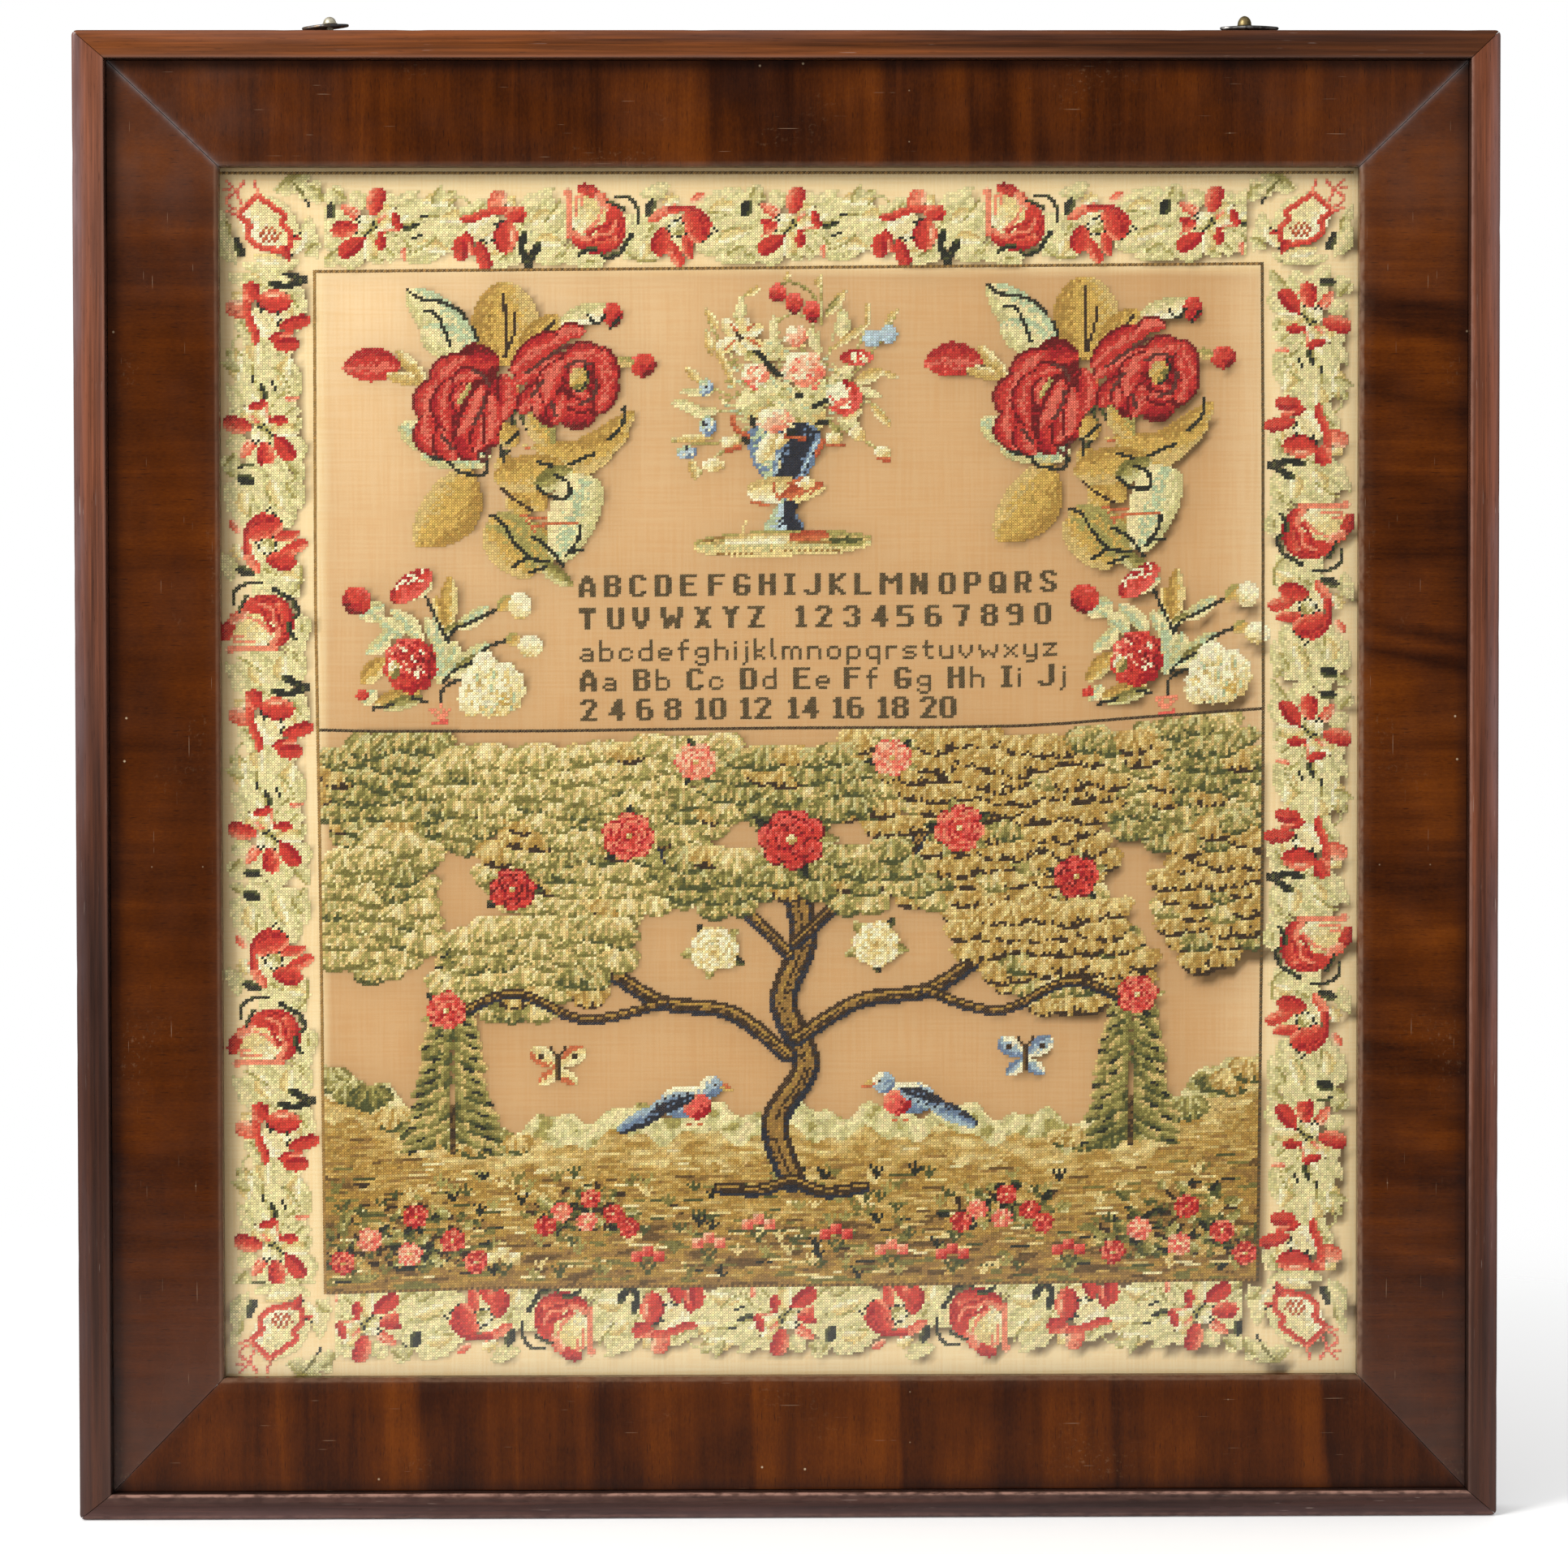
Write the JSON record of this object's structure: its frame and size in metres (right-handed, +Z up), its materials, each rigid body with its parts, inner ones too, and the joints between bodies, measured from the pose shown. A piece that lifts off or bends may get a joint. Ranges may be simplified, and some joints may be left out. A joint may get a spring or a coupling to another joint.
{
  "type": "framed cross stitch sampler",
  "caption": "Embroidered cross stitch sampler with flower sprays, a flower border and a stitched lower panel, stretched behind glass in a wide mitred dark wood frame that hangs on a wall.",
  "frame": {"origin": "the middle of the top rail's back face, in the plane where the frame lies on the wall", "axes": "+X to the right as seen from the front, +Y into the wall, +Z up"},
  "size_m": [0.7, 0.03, 0.7398],
  "materials": {
    "cloth": "even-weave canvas, wool cross stitches",
    "veneer": "cross-grain veneer, worn polish",
    "strip_wood": "long-grain, dulled polish",
    "glass": "clear",
    "board": "bare, plain",
    "old_brass": "aged"
  },
  "bodies": {
    "root": {"sampler_cloth": "cloth", "rail_top": "veneer", "rail_bottom": "veneer", "rail_left": "veneer", "rail_right": "veneer", "edge_strip_top": "strip_wood", "edge_strip_bottom": "strip_wood", "edge_strip_left": "strip_wood", "edge_strip_right": "strip_wood", "glass_pane": "glass", "backboard": "board", "hanger_plate_left": "old_brass", "hanger_plate_right": "old_brass", "hanger_stud_left": "old_brass", "hanger_stud_right": "old_brass"}
  },
  "joints": []
}
